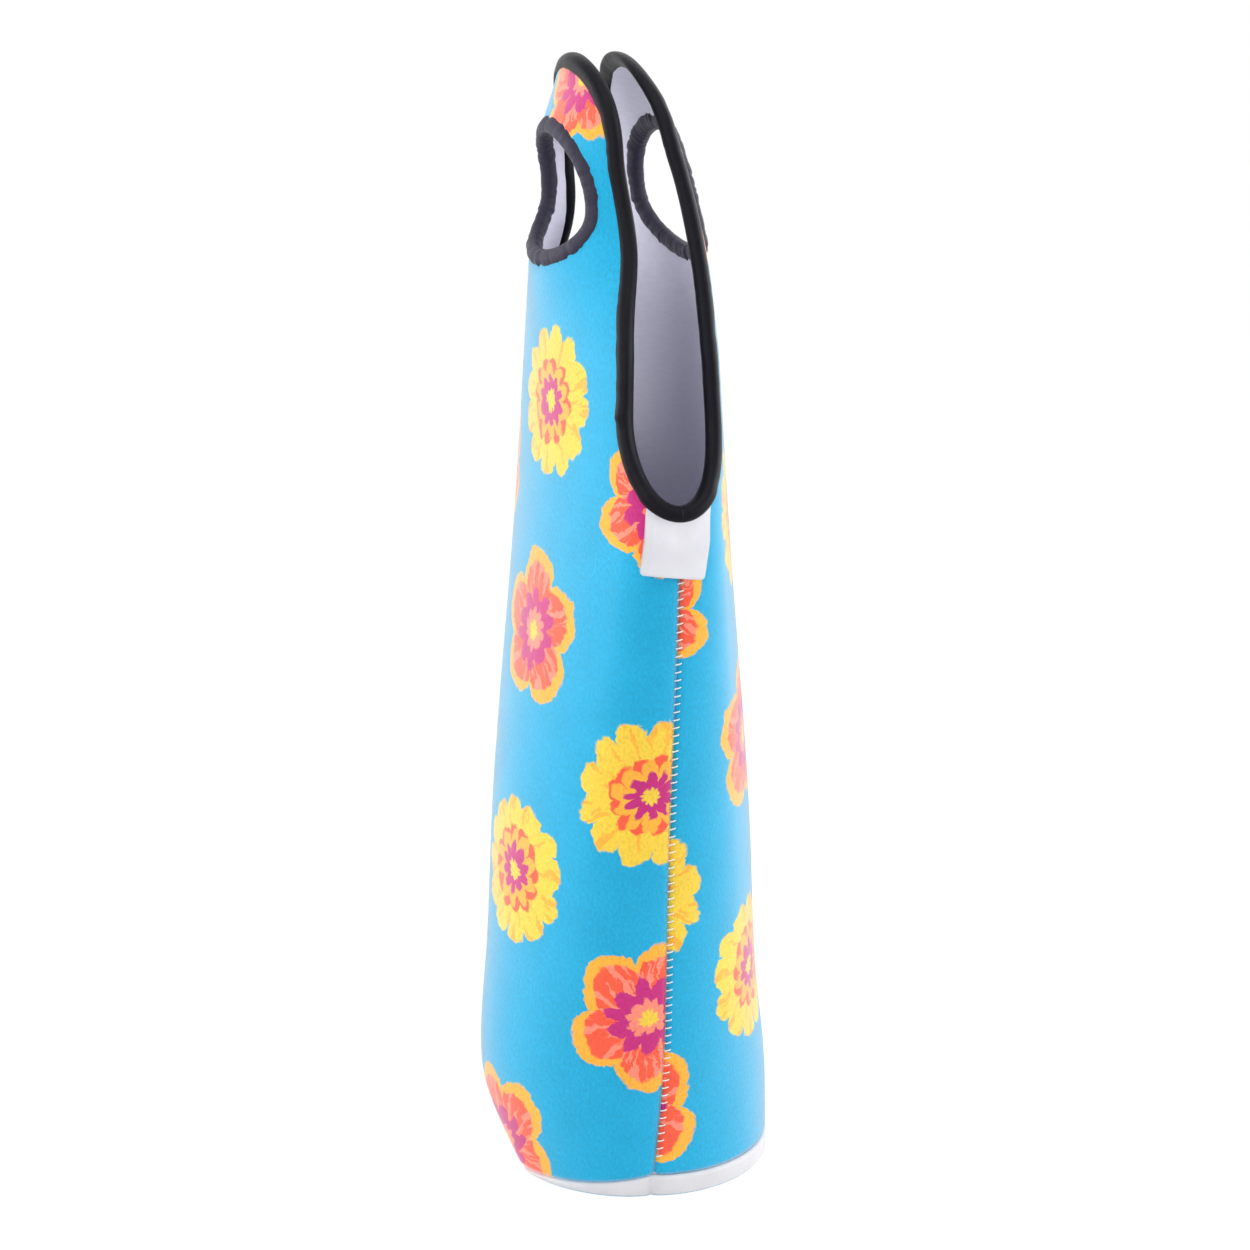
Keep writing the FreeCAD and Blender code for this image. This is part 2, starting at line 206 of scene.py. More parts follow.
class Section:
    """Outer face of half the bag at one height: a shallow front arc and, lower down, round side arcs."""

    def __init__(self, z, side):
        self.z = z
        self.side = side
        self.lean = 0.0
        self.twist = side * twist(z)
        if z > flex_height:
            deep, self.front_radius, self.lean = TAB_AT[side](z)
            self.front_centre = self.front_radius - deep
            self.front_turn = math.pi
            self.half_length = tab_half_length(z)
            return
        wide, deep, share = body_at(z)
        self.side_radius = share * deep
        self.side_centre = wide - self.side_radius
        rest = deep - self.side_radius
        self.front_centre = (self.side_centre ** 2 - rest ** 2) / (2 * rest)
        self.front_radius = deep + self.front_centre
        self.front_turn = math.atan2(self.side_centre, self.front_centre)
        self.half_length = self.front_radius * self.front_turn
        side_turn = math.pi / 2 - self.front_turn
        if z < notch_height + notch_round:
            rise = max(z - notch_height, 0.0)
            notch_turn = math.acos(1 - rise / notch_round)
            low = math.asin(math.sin(side_turn) * math.sin(notch_turn))
            self.half_length += self.side_radius * (side_turn - low)

    def at(self, length, depth):
        """Point and normal at a length from the middle, on the face that lies depth inside."""
        length += self.twist
        turn = abs(length) / self.front_radius
        sign = math.copysign(1.0, length)
        if turn <= self.front_turn:
            reach = self.front_radius - depth
            x, y = reach * math.sin(turn), reach * math.cos(turn) - self.front_centre
        else:
            turn = self.front_turn + (turn - self.front_turn) * self.front_radius / self.side_radius
            reach = self.side_radius - depth
            x, y = self.side_centre + reach * math.sin(turn), reach * math.cos(turn)
        return sign * x, y, sign * math.sin(turn), math.cos(turn)

    def foot(self, x, y):
        """Nearest point of the outer face and its normal."""
        sign = math.copysign(1.0, x)
        turn = math.atan2(abs(x), y + self.front_centre)
        centre, radius = (0.0, -self.front_centre), self.front_radius
        if turn > self.front_turn:
            turn = math.atan2(abs(x) - self.side_centre, y)
            centre, radius = (self.side_centre, 0.0), self.side_radius
        across, out = math.sin(turn), math.cos(turn)
        return sign * (centre[0] + radius * across), centre[1] + radius * out, sign * across, out

    def upright(self, x, y):
        return np.array((x, self.lean + self.side * (y + seam_gap), self.z))

    def place(self, x, y, outer=None):
        """Place in the bag's frame; a point inside the laminate moves as its outer face does."""
        anchor = (x, y) if outer is None else outer
        return self.upright(x, y) + settled(*self.upright(*anchor))

    def unplace(self, point):
        return point[0], self.side * (point[1] - self.lean) - seam_gap


def settled(x, y, z):
    """Move of a point as the lower body shifts back and its front corner is pressed in."""
    back = slump_depth * max(0.0, 1 - z / slump_height) ** 2
    press = 0.0
    if z < tuck_height:
        limit = tuck_reach + (body_at(tuck_height)[1] + tuck_margin - tuck_reach) * z / tuck_height
        excess = -(x * tuck_direction[0] + (y + back) * tuck_direction[1]) - limit
        press = math.log1p(math.exp(min(excess, 30.0)))
    return np.array((press * tuck_direction[0], back + press * tuck_direction[1], 0.0))


def twist(z):
    """Length by which the lower seams wander off the sides, towards the front at the label."""
    return twist_length * max(0.0, 1 - z / slump_height) ** 2


FLEX = Section(flex_height, FRONT)
FLEX_LEVEL = (flex_height, body_at(flex_height)[1], FLEX.front_radius, 0.0)
TAB_AT = {side: hermite((FLEX_LEVEL,) + levels) for side, levels in TAB_LEVELS.items()}


def tab_tangent():
    """Flat cut of a tab: where its straight edge runs into the round top, as (length, height)."""
    centre = bag_height - tab_top_radius
    run = (FLEX.half_length, flex_height - centre)
    turn = math.atan2(run[1], run[0]) + math.acos(tab_top_radius / math.hypot(*run))
    return tab_top_radius * math.cos(turn), centre + tab_top_radius * math.sin(turn)


TANGENT_LENGTH, TANGENT_Z = tab_tangent()


def tab_half_length(z):
    """Half width of a tab's flat cut: a straight taper, then a round top."""
    if z <= TANGENT_Z:
        share = (z - flex_height) / (TANGENT_Z - flex_height)
        return FLEX.half_length + (TANGENT_LENGTH - FLEX.half_length) * share
    rise = min(z - bag_height + tab_top_radius, tab_top_radius)
    return math.sqrt(tab_top_radius ** 2 - rise ** 2)


# Meshes
def make_object(name, verts, faces, materials, face_material=None, uv=None):
    """Smooth mesh from points in millimetres, with normals that point out."""
    mesh = bpy.data.meshes.new(name)
    mesh.from_pydata([tuple(v) for v in np.array(verts) * MM], [], faces)
    for material in materials:
        mesh.materials.append(material)
    if face_material is not None:
        mesh.polygons.foreach_set("material_index", face_material)
    if uv is not None:
        layer = mesh.uv_layers.new(name="cloth")
        corners = np.zeros(len(mesh.loops), int)
        mesh.loops.foreach_get("vertex_index", corners)
        layer.data.foreach_set("uv", (np.array(uv)[corners] * MM).ravel())
    work = bmesh.new()
    work.from_mesh(mesh)
    bmesh.ops.recalc_face_normals(work, faces=work.faces)
    work.to_mesh(mesh)
    work.free()
    mesh.shade_smooth()
    obj = bpy.data.objects.new(name, mesh)
    bpy.context.scene.collection.objects.link(obj)
    return obj


def slab(name, shown, hidden, keep, uv, materials):
    """Closed sheet between two grids of points; only faces in keep are made, and the rim is closed."""
    rows, columns = shown.shape[:2]
    verts = np.concatenate([shown.reshape(-1, 3), hidden.reshape(-1, 3)])
    half = rows * columns
    front = []
    for i, j in zip(*np.nonzero(keep)):
        k = int(i) * columns + int(j)
        front.append((k, k + 1, k + columns + 1, k + columns))
    edges = {}
    for face in front:
        for a, b in zip(face, face[1:] + face[:1]):
            edges[a, b] = True
    rim = [(b, a, a + half, b + half) for a, b in edges if (b, a) not in edges]
    back = [tuple(k + half for k in reversed(face)) for face in front]
    faces = front + back + rim
    face_material = [0] * len(front) + [1] * (len(back) + len(rim))
    used = sorted({k for face in faces for k in face})
    order = {k: n for n, k in enumerate(used)}
    faces = [tuple(order[k] for k in face) for face in faces]
    double_uv = np.concatenate([uv.reshape(-1, 2), uv.reshape(-1, 2)])
    return make_object(name, verts[used], faces, materials, face_material, double_uv[used])


def tube(name, rings, closed, material, uv):
    """Skin through rings of points; an open tube gets end caps."""
    count, sides = len(rings), len(rings[0])
    faces = []
    for k in range(count if closed else count - 1):
        n = (k + 1) % count
        for c in range(sides):
            d = (c + 1) % sides
            faces.append((k * sides + c, k * sides + d, n * sides + d, n * sides + c))
    if not closed:
        faces.append(tuple(range(sides)))
        faces.append(tuple(range((count - 1) * sides, count * sides)))
    obj = make_object(name, np.concatenate(rings), faces, [material], uv=uv)
    if not closed:
        for polygon in list(obj.data.polygons)[-2:]:
            polygon.use_smooth = False
    return obj


# Panels
COLUMNS = 120


def panel_rows():
    """Row heights of a panel: dense at the rim, at the notch and at the round top."""
    rim = [0.0, 0.4, 0.8, 1.3, 2.0, 3.0]
    body = list(np.arange(4.5, notch_height - 2, 2.2))
    notch = [notch_height + notch_round * (1 - math.cos(t)) for t in np.linspace(0, math.pi / 2, 26)]
    tab = list(np.linspace(notch_height + notch_round, TANGENT_Z, 46)[1:])
    low_turn = math.asin((TANGENT_Z - bag_height + tab_top_radius) / tab_top_radius)
    turns = np.linspace(low_turn, math.pi / 2, 30)[1:]
    top = [bag_height - tab_top_radius * (1 - math.sin(t)) for t in turns]
    return rim + body + notch + tab + top


def panel_columns():
    even = np.linspace(-1, 1, COLUMNS + 1)
    return 0.55 * even + 0.45 * np.sin(even * math.pi / 2)


def rim_height(share, side):
    """Lower edge of a panel: highest at the seams (share 1 or -1), lowest at the front."""
    middle = rim_rise_front if side == FRONT else rim_rise_back
    return middle + (rim_rise_side - middle) * share * share


def seam_valley(from_seam, z):
    """Depth to which a side seam has pulled the cloth in; it fades out under the notch."""
    below = soft_step(notch_height - z, *valley_fade)
    return seam_pull * below * math.exp(-from_seam / seam_pull_reach)


def in_hole(length, z, margin):
    """Inside a hand hole of the flat cut, grown by a margin."""
    low = hole_low_share * hole_height
    middle = hole_bottom + low
    rise = hole_height - low if z > middle else low
    return (length / (hole_half_length + margin)) ** 2 + ((z - middle) / (rise + margin)) ** 2 < 1


def panel_grid(side, depth, sewn):
    """Points and cloth coordinates of one face of a panel; sewn edges of the outer face are rounded."""
    rows, columns = panel_rows(), panel_columns()
    points = np.zeros((len(rows), len(columns), 3))
    cloth = np.zeros((len(rows), len(columns), 2))
    for i, row in enumerate(rows):
        for j, share in enumerate(columns):
            z = row + rim_height(share, side) * max(0.0, 1 - row / rim_fade)
            section = Section(z, side)
            length = share * section.half_length
            from_seam = (1 - abs(share)) * section.half_length
            dip = seam_valley(from_seam, z)
            if sewn:
                below = min(max((notch_height - z) / seam_dip_fade, 0.0), 1.0)
                dip += seam_dip * below * math.exp(-(from_seam / seam_round) ** 2)
                dip += seam_dip * math.exp(-(row / seam_round) ** 2)
            x, y, _, _ = section.at(length, depth + dip)
            points[i, j] = section.place(x, y, section.at(length, 0.0)[:2])
            cloth[i, j] = (length, z)
    return points, cloth


def kept_faces(cloth):
    """All faces of a panel grid but those in the hand hole."""
    middle = (cloth[:-1, :-1] + cloth[1:, 1:]) / 2
    keep = np.ones(middle.shape[:2], bool)
    for i, j in np.ndindex(*keep.shape):
        keep[i, j] = not in_hole(*middle[i, j], hole_margin)
    return keep


def bend_with_tab(obj, side):
    """The cloth is one piece across the fold line; here only the object's placement is baked into its mesh,
    and nothing bends it.
    """
    fold_y = side * body_at(flex_height)[1]
    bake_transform(obj)


def panel(name, side, materials):
    middle = laminate / 2
    outer, cloth = panel_grid(side, 0.0, True)
    core, _ = panel_grid(side, middle - ply_gap, False)
    keep = kept_faces(cloth)
    face = slab(name + "_panel_print", outer, core, keep, cloth, [materials["print"], materials["foam"]])
    bend_with_tab(face, side)
    plies = [f"{name}_{piece}_{ply}" for piece in ("panel", "handle") for ply in ("face_fabric", "foam")]
    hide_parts(*plies)
    back, _ = panel_grid(side, middle + ply_gap, False)
    inner, cloth = panel_grid(side, laminate, False)
    sheets = [materials["lining"], materials["foam"]]
    lining = slab(name + "_panel_inside", inner, back, keep, cloth, sheets)
    bend_with_tab(lining, side)
    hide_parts(name + "_panel_lining", name + "_handle_lining")


# Tapes
TAPE_SIDES = 28


def tape_ring(point, tangent, toward, side, half_width, swell, lift=0.0):
    """Bead round the cloth's edge at one place; toward is a rough direction into the cloth."""
    section = Section(point[2], side)
    _, _, across, out = section.foot(*section.unplace(point))
    normal = np.array((across, side * out, 0.0))
    inward = np.cross(tangent, normal)
    inward /= np.linalg.norm(inward)
    if inward.dot(toward) < 0:
        inward = -inward
    ring = []
    for turn in np.linspace(0, 2 * math.pi, TAPE_SIDES + 1)[:-1]:
        along, through = math.cos(turn), math.sin(turn)
        along = math.copysign(abs(along) ** (2 / tape_squareness), along)
        through = math.copysign(abs(through) ** (2 / tape_squareness), through)
        inset = half_width * (1 + along) - tape_overhang
        depth = laminate / 2 - (laminate / 2 + swell) * through
        if through > 0:
            depth -= lift * through
        start = point + inward * inset
        here = Section(start[2], side)
        x, y, across, out = here.foot(*here.unplace(start))
        ring.append(here.place(x - across * depth, y - out * depth))
    return np.array(ring)


def edge_point(z, sign, side):
    section = Section(z, side)
    x, y, _, _ = section.at(sign * section.half_length, 0.0)
    return section.place(x, y)


def mouth_path(side):
    """Edge of one panel from the near seam over the tab to the far seam."""
    rows = [z for z in panel_rows() if z >= notch_height]
    near = [edge_point(z, 1, side) for z in rows]
    far = [edge_point(z, -1, side) for z in rows[-2::-1]]
    return near + far


def tangents(points, closed):
    count = len(points)
    found = []
    for k in range(count):
        before = points[k - 1] if closed or k > 0 else points[k]
        after = points[(k + 1) % count] if closed or k < count - 1 else points[k]
        found.append((after - before) / np.linalg.norm(after - before))
    return found


def lengths(points):
    steps = np.linalg.norm(np.diff(np.array(points), axis=0), axis=1)
    return np.concatenate([[0.0], np.cumsum(steps)])


def ring_uv(distances):
    around = np.arange(TAPE_SIDES) * 0.6
    return np.array([(d, a) for d in distances for a in around])


def gathers(phase):
    """Uneven gathers of a tape that was sewn round a tight curve, from about -1 to 1."""
    fold = math.sin(phase + 1.7 * math.sin(0.23 * phase) + 1.1 * math.sin(0.61 * phase))
    strength = 0.55 + 0.45 * math.sin(0.17 * phase + 0.8 * math.sin(0.05 * phase))
    return strength * fold + 0.4 * math.sin(0.41 * phase)


def tape_join(z):
    """Swelling where the ends of the mouth tape overlap: a step below, a taper above."""
    start, end = join_height - join_length / 2, join_height + join_length / 2
    return join_swell * soft_step(z, start, start + 0.8) * (1 - soft_step(z, start + 1, end))


def mouth_tape(name, side, material):
    points = mouth_path(side)
    directions = tangents(points, False)
    directions[0] = np.array((0.0, float(side), 0.0))
    directions[-1] = np.array((0.0, -float(side), 0.0))
    distances = lengths(points)
    rings = []
    for point, direction, distance in zip(points, directions, distances):
        inside = soft_step(min(distance, distances[-1] - distance), 0, notch_calm)
        uneven = tape_unevenness * inside * gathers(2 * math.pi * distance / tape_wave)
        toward = np.array((-point[0], 3 * point[1], hole_bottom - point[2]))
        if point[2] < notch_height + notch_round:
            toward = np.array((0.0, 3 * point[1], notch_height - notch_round - point[2]))
        lift = 0.0
        if point[0] > 0 and point[2] < flex_height:
            lift = label_lift * (1 - soft_step(abs(point[1]), *label_lift_reach))
        if side < 0 and point[0] > 0:
            lift += tape_join(point[2])
        rings.append(tape_ring(point, direction, toward, side, mouth_tape_half_width + uneven,
                               mouth_tape_swell + uneven, lift))
    for end in (0, len(rings)):
        ring = rings[min(end, len(rings) - 1)].copy()
        ring[:, 1] = 0.0
        rings[min(end, len(rings) - 1)][:, 1] = tape_end_step * side
        rings.insert(end, ring)
    distances = [-tape_end_step, *distances, distances[-1] + tape_end_step]
    obj = tube(name + "_mouth_tape", rings, False, material, ring_uv(distances))
    bend_with_tab(obj, side)
    notch = "near" if side < 0 else "far"
    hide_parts(name + "_rim_binding", notch + "_notch_binding")


def hole_tape(name, side, material):
    low = hole_low_share * hole_height
    middle = hole_bottom + low
    points = []
    for turn in np.linspace(-math.pi / 2, 1.5 * math.pi, 181)[:-1]:
        rise = hole_height - low if math.sin(turn) > 0 else low
        section = Section(middle + rise * math.sin(turn), side)
        x, y, _, _ = section.at(hole_half_length * math.cos(turn), 0.0)
        points.append(section.place(x, y))
    distances = lengths(points)
    rings = []
    for point, direction, distance in zip(points, tangents(points, True), distances):
        pucker = pucker_depth * gathers(2 * math.pi * distance / pucker_pitch)
        joint = hole_joint_depth * math.exp(-((distance - hole_joint_place) / hole_joint_width) ** 2)
        toward = np.array((point[0], 0.0, point[2] - middle))
        rings.append(tape_ring(point, direction, toward, side, hole_tape_half_width + 0.5 * pucker,
                               hole_tape_swell + pucker - joint))
    obj = tube(name + "_hole_tape", rings, True, material, ring_uv(distances))
    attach(obj, name + "_handle")
    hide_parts(name + "_hole_binding")


# Stitches
STITCH_STEPS = 9
STITCH_SIDES = 8


def stitch_rings(z, sign, drift):
    """One bar of thread that rises out of the cloth, crosses the seam and dives in again."""
    centre = []
    for t in np.linspace(-1, 1, STITCH_STEPS):
        section = Section(z + stitch_slope * stitch_reach * t, FRONT)
        rise = stitch_rise * (1 - t * t) ** 0.5 - stitch_sink
        rise -= seam_valley(abs(drift + stitch_reach * t), z)
        x, y, _, _ = section.at(sign * (section.half_length + drift + stitch_reach * t), -rise)
        centre.append(section.place(x, y))
    turns = np.linspace(0, 2 * math.pi, STITCH_SIDES + 1)[:-1]
    rings = []
    for point, direction in zip(centre, tangents(centre, False)):
        across = np.cross(direction, (0, 0, 1.0))
        across /= np.linalg.norm(across)
        up = np.cross(across, direction)
        spokes = [math.cos(a) * across + math.sin(a) * up for a in turns]
        rings.append(np.array([point + stitch_radius * spoke for spoke in spokes]))
    return rings


def seam_stitches(name, sign, high, material):
    verts, faces = [], []
    for z in np.arange(seam_low, high, stitch_pitch):
        drift = stitch_drift * (1 - z / notch_height)
        rings = stitch_rings(z, sign, drift)
        first = len(verts)
        for ring in rings:
            verts.extend(ring)
        for k in range(STITCH_STEPS - 1):
            for c in range(STITCH_SIDES):
                d = (c + 1) % STITCH_SIDES
                a, b = first + k * STITCH_SIDES, first + (k + 1) * STITCH_SIDES
                faces.append((a + c, a + d, b + d, b + c))
        last = first + (STITCH_STEPS - 1) * STITCH_SIDES
        faces.append(tuple(range(first, first + STITCH_SIDES)))
        faces.append(tuple(range(last, last + STITCH_SIDES)))
    obj = make_object(name + "_seam_stitches", verts, faces, [material])
    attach(obj, "bag")
    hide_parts(name + "_seam_thread")


# Label
LABEL_COLUMNS = 48
LABEL_PLY_ROWS = 44


def label_path():
    """Side view of the folded label as (distance from the cloth, share of its drop), inner ply first."""
    low = label_fold_share
    drop = np.linspace(0, low, LABEL_PLY_ROWS)
    inner = [(0.2 + 0.1 * t, t) for t in drop]
    turns = np.linspace(0, math.pi, 9)[1:-1]
    fold = [(0.85 - 0.55 * math.cos(a), low + (1 - low) * math.sin(a)) for a in turns]
    outer = [(0.55 + 0.85 * soft_step(t, 0.1, 0.5), t) for t in drop[::-1]]
    return inner + fold + outer


def label(material):
    path = label_path()
    points = np.zeros((len(path), LABEL_COLUMNS + 1, 3))
    cloth = np.zeros((len(path), LABEL_COLUMNS + 1, 2))
    for i, (off, share) in enumerate(path):
        for j, t in enumerate(np.linspace(-1, 1, LABEL_COLUMNS + 1)):
            low_corner = max(share - 0.93, 0.0) / 0.07
            y = t * (label_width / 2 - label_corner * (1 - math.sqrt(1 - low_corner ** 2)))
            top = label_top + label_top_rise * t * t
            z = top + (label_low - top) * share
            section = Section(min(z, notch_height), FRONT)
            hug = section.side_centre + math.sqrt(section.side_radius ** 2 - y * y)
            stiff = section.side_centre + section.side_radius - label_bow * t * t
            hem = label_hem * math.exp(-((t + 0.8) / 0.05) ** 2)
            x = hug + (stiff - hug) * soft_step(share, 0.05, 0.55) + off + hem
            points[i, j] = (x, y - label_tilt * (top - z), z - label_tilt * y * soft_step(share, 0.0, 0.3))
            cloth[i, j] = (y, i)
    rows = points.shape[0]
    faces = []
    for i in range(rows - 1):
        for j in range(LABEL_COLUMNS):
            k = i * (LABEL_COLUMNS + 1) + j
            faces.append((k, k + 1, k + LABEL_COLUMNS + 2, k + LABEL_COLUMNS + 1))
    obj = make_object("folded_label", points.reshape(-1, 3), faces, [material], uv=cloth.reshape(-1, 2))
    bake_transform(obj)
    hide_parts("woven_label")


# Base
BASE_COLUMNS = 160


def base_point(share, inset, z, scale):
    """Point of the base; share runs once round from the near seam, inset is inward."""
    side = BACK if share < 0.5 else FRONT
    along = 1 - 4 * (share if share < 0.5 else 1 - share)
    section = Section(0.0, side)
    seam_distance = (1 - abs(along)) * section.half_length
    inset += seam_crease * math.exp(-(seam_distance / seam_crease_width) ** 2)
    inset += seam_valley(seam_distance, 0.0)
    x, y, _, _ = section.at(along * section.half_length, inset)
    outer_x, outer_y, _, _ = section.at(along * section.half_length, 0.0)
    point = scale * (np.array((x, side * y, 0.0)) + settled(outer_x, side * outer_y, 0.0))
    point[2] = z(along, side)
    return point


def base_ring(inset, height, scale=1.0):
    """Ring of the base; height takes the place between the seams, from 1 to -1, and the side."""
    return np.array([base_point(k / BASE_COLUMNS, inset, height, scale) for k in range(BASE_COLUMNS)])


def level(z):
    return lambda along, side: z


def up_to(z, share):
    """Height z, or a share of the rim where the rim is low."""
    return lambda along, side: min(z, share * rim_height(along, side))


def under_panel(gap, share):
    """Height a gap under the panel's edge, or a share of the rim where the rim is low."""
    return lambda along, side: max(rim_height(along, side) - gap, share * rim_height(along, side))


def base_shell(white, underside):
    """Rolled white rim and printed underside, with the rim's inner wall."""
    roll = []
    for turn in np.linspace(0, math.pi / 2, 6):
        inset = base_inset + base_roll * (1 - math.sin(turn))
        rise = 1 - math.cos(turn)
        roll.append(base_ring(inset, up_to(base_roll * rise, 0.4 * rise)))
    rings = [base_ring(base_inset + base_roll, level(0.0), scale) for scale in (0.1, 0.4, 0.7, 0.9)]
    rings += roll
    rings.append(base_ring(base_inset - 0.25, under_panel(1.6, 0.5)))
    rings.append(base_ring(base_inset, under_panel(0.5, 0.7)))
    rings += [base_ring(inset, under_panel(0.1, 0.9)) for inset in (base_inset + 0.6, laminate)]
    rings += [base_ring(laminate, up_to(1.0, 0.6)), base_ring(laminate, up_to(1.0, 0.6), 0.1)]
    obj = tube("base_shell", rings, False, white, None)
    obj.data.materials.append(underside)
    for polygon in obj.data.polygons:
        if polygon.center.z < 0.35 * MM:
            polygon.material_index = 1
    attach(obj, "bag")
    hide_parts("base_face_fabric", "base_foam")


def base_floor(material):
    """Lining on the inside of the base, slightly crowned."""
    inset = laminate + floor_clearance
    rings = [base_ring(inset, level(floor_level - floor_thickness), scale) for scale in (0.1, 1.0)]
    rings.append(base_ring(inset, level(floor_level)))
    for scale in (0.95, 0.8, 0.5, 0.2, 0.05):
        rings.append(base_ring(inset, level(floor_level + floor_crown * (1 - scale * scale)), scale))
    obj = tube("base_floor", rings, False, material, None)
    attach(obj, "bag")
    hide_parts("base_lining")


# Materials
def srgb(red, green, blue):
    """Linear colour from 8-bit screen values."""
    def one(value):
        value /= 255
        return value / 12.92 if value <= 0.04045 else ((value + 0.055) / 1.055) ** 2.4
    return one(red), one(green), one(blue), 1.0


CYAN = srgb(12, 170, 216)
ORANGE = srgb(255, 180, 58)
YELLOW = srgb(247, 208, 66)
CORAL = srgb(252, 92, 62)
MAGENTA = srgb(200, 38, 124)
SALMON = srgb(255, 142, 118)


class Graph:
    """A material with short names for the nodes it is made of."""

    def __init__(self, name, roughness, sheen, specular=0.3, sheen_spread=0.35):
        self.material = bpy.data.materials.new(name)
        self.material.use_nodes = True
        self.tree = self.material.node_tree
        self.shader = self.tree.nodes["Principled BSDF"]
        self.shader.inputs["Roughness"].default_value = roughness
        self.shader.inputs["Sheen Weight"].default_value = sheen
        self.shader.inputs["Sheen Roughness"].default_value = sheen_spread
        self.shader.inputs["Specular IOR Level"].default_value = specular

    def node(self, kind, **settings):
        made = self.tree.nodes.new("ShaderNode" + kind)
        for key, value in settings.items():
            setattr(made, key, value)
        return made

    def put(self, value, socket):
        if isinstance(value, bpy.types.NodeSocket):
            self.tree.links.new(value, socket)
        else:
            socket.default_value = value

    def math(self, operation, *values):
        made = self.node("Math", operation=operation)
        for value, socket in zip(values, made.inputs):
            self.put(value, socket)
        return made.outputs[0]

    def add(self, a, b):
        return self.math("ADD", a, b)

    def times(self, a, b):
        return self.math("MULTIPLY", a, b)

    def below(self, value, edge, soft):
        """1 where value is under the edge, 0 above it, with a soft border."""
        made = self.node("MapRange", interpolation_type="SMOOTHSTEP")
        self.put(value, made.inputs["Value"])
        made.inputs["From Min"].default_value = edge - soft
        made.inputs["From Max"].default_value = edge + soft
        made.inputs["To Min"].default_value = 1.0
        made.inputs["To Max"].default_value = 0.0
        return made.outputs[0]

    def mix(self, factor, a, b):
        made = self.node("Mix", data_type="RGBA")
        self.put(factor, made.inputs[0])
        self.put(a, made.inputs[6])
        self.put(b, made.inputs[7])
        return made.outputs[2]

    def vector(self, x, y, z=0.0):
        made = self.node("CombineXYZ")
        for value, socket in zip((x, y, z), made.inputs):
            self.put(value, socket)
        return made.outputs[0]

    def noise(self, vector, scale, detail=2.0):
        made = self.node("TexNoise")
        self.put(vector, made.inputs["Vector"])
        made.inputs["Scale"].default_value = scale
        made.inputs["Detail"].default_value = detail
        return made.outputs["Fac"]

    def brushed(self, across, up, scale, amount):
        """Coordinates shaken by noise, for edges that look painted."""
        made = self.node("TexNoise")
        self.put(self.vector(across, up), made.inputs["Vector"])
        made.inputs["Scale"].default_value = scale
        split = self.node("SeparateXYZ")
        self.put(made.outputs["Color"], split.inputs[0])
        shaken = []
        for value, push in zip((across, up), split.outputs):
            shaken.append(self.add(value, self.times(self.math("SUBTRACT", push, 0.5), amount)))
        return shaken

    def cloth_mm(self):
        """Cloth coordinates of the surface, in millimetres."""
        made = self.node("SeparateXYZ")
        self.put(self.node("UVMap", uv_map="cloth").outputs[0], made.inputs[0])
        return self.times(made.outputs[0], 1 / MM), self.times(made.outputs[1], 1 / MM)

    def place_mm(self):
        """Place of the surface in the part's frame, in millimetres."""
        made = self.node("VectorMath", operation="SCALE")
        self.put(self.node("TexCoord").outputs["Object"], made.inputs[0])
        made.inputs["Scale"].default_value = 1 / MM
        return made.outputs[0]

    def wave(self, value, pitch):
        return self.math("SINE", self.times(value, 2 * math.pi / pitch))

    def bump(self, height, strength, distance):
        made = self.node("Bump")
        self.put(height, made.inputs["Height"])
        made.inputs["Strength"].default_value = strength
        made.inputs["Distance"].default_value = distance * MM
        self.put(made.outputs[0], self.shader.inputs["Normal"])

    def color(self, value):
        self.put(value, self.shader.inputs["Base Color"])


# Flower print: a half-drop grid of two round flowers
flower_pitch_across = 54.0
flower_pitch_up = 84.0
flower_radius = 25.5
flower_wander = 22.0
flower_sway = 7.0
flower_fray = 2.4
knit_wale = 0.8
knit_course = 0.6


def knit(graph, across, up):
    """Height of a fine jersey knit."""
    return graph.times(graph.wave(across, knit_wale), graph.wave(up, knit_course))


def petals(graph, turn, count, depth, sharp):
    """Reach of a flower's edge, 1 at the tip of a petal and 1 - depth between petals."""
    lobe = graph.math("ABSOLUTE", graph.math("COSINE", graph.times(turn, count / 2)))
    lobe = graph.math("POWER", lobe, sharp)
    return graph.add(graph.times(lobe, depth), 1 - depth)


def layered(graph, ground, share, layers):
    """Rings of colour from the outside in; each layer is (edge, colour)."""
    color = ground
    for edge, paint in layers:
        color = graph.mix(graph.below(share, edge, 0.02), color, paint)
    return color


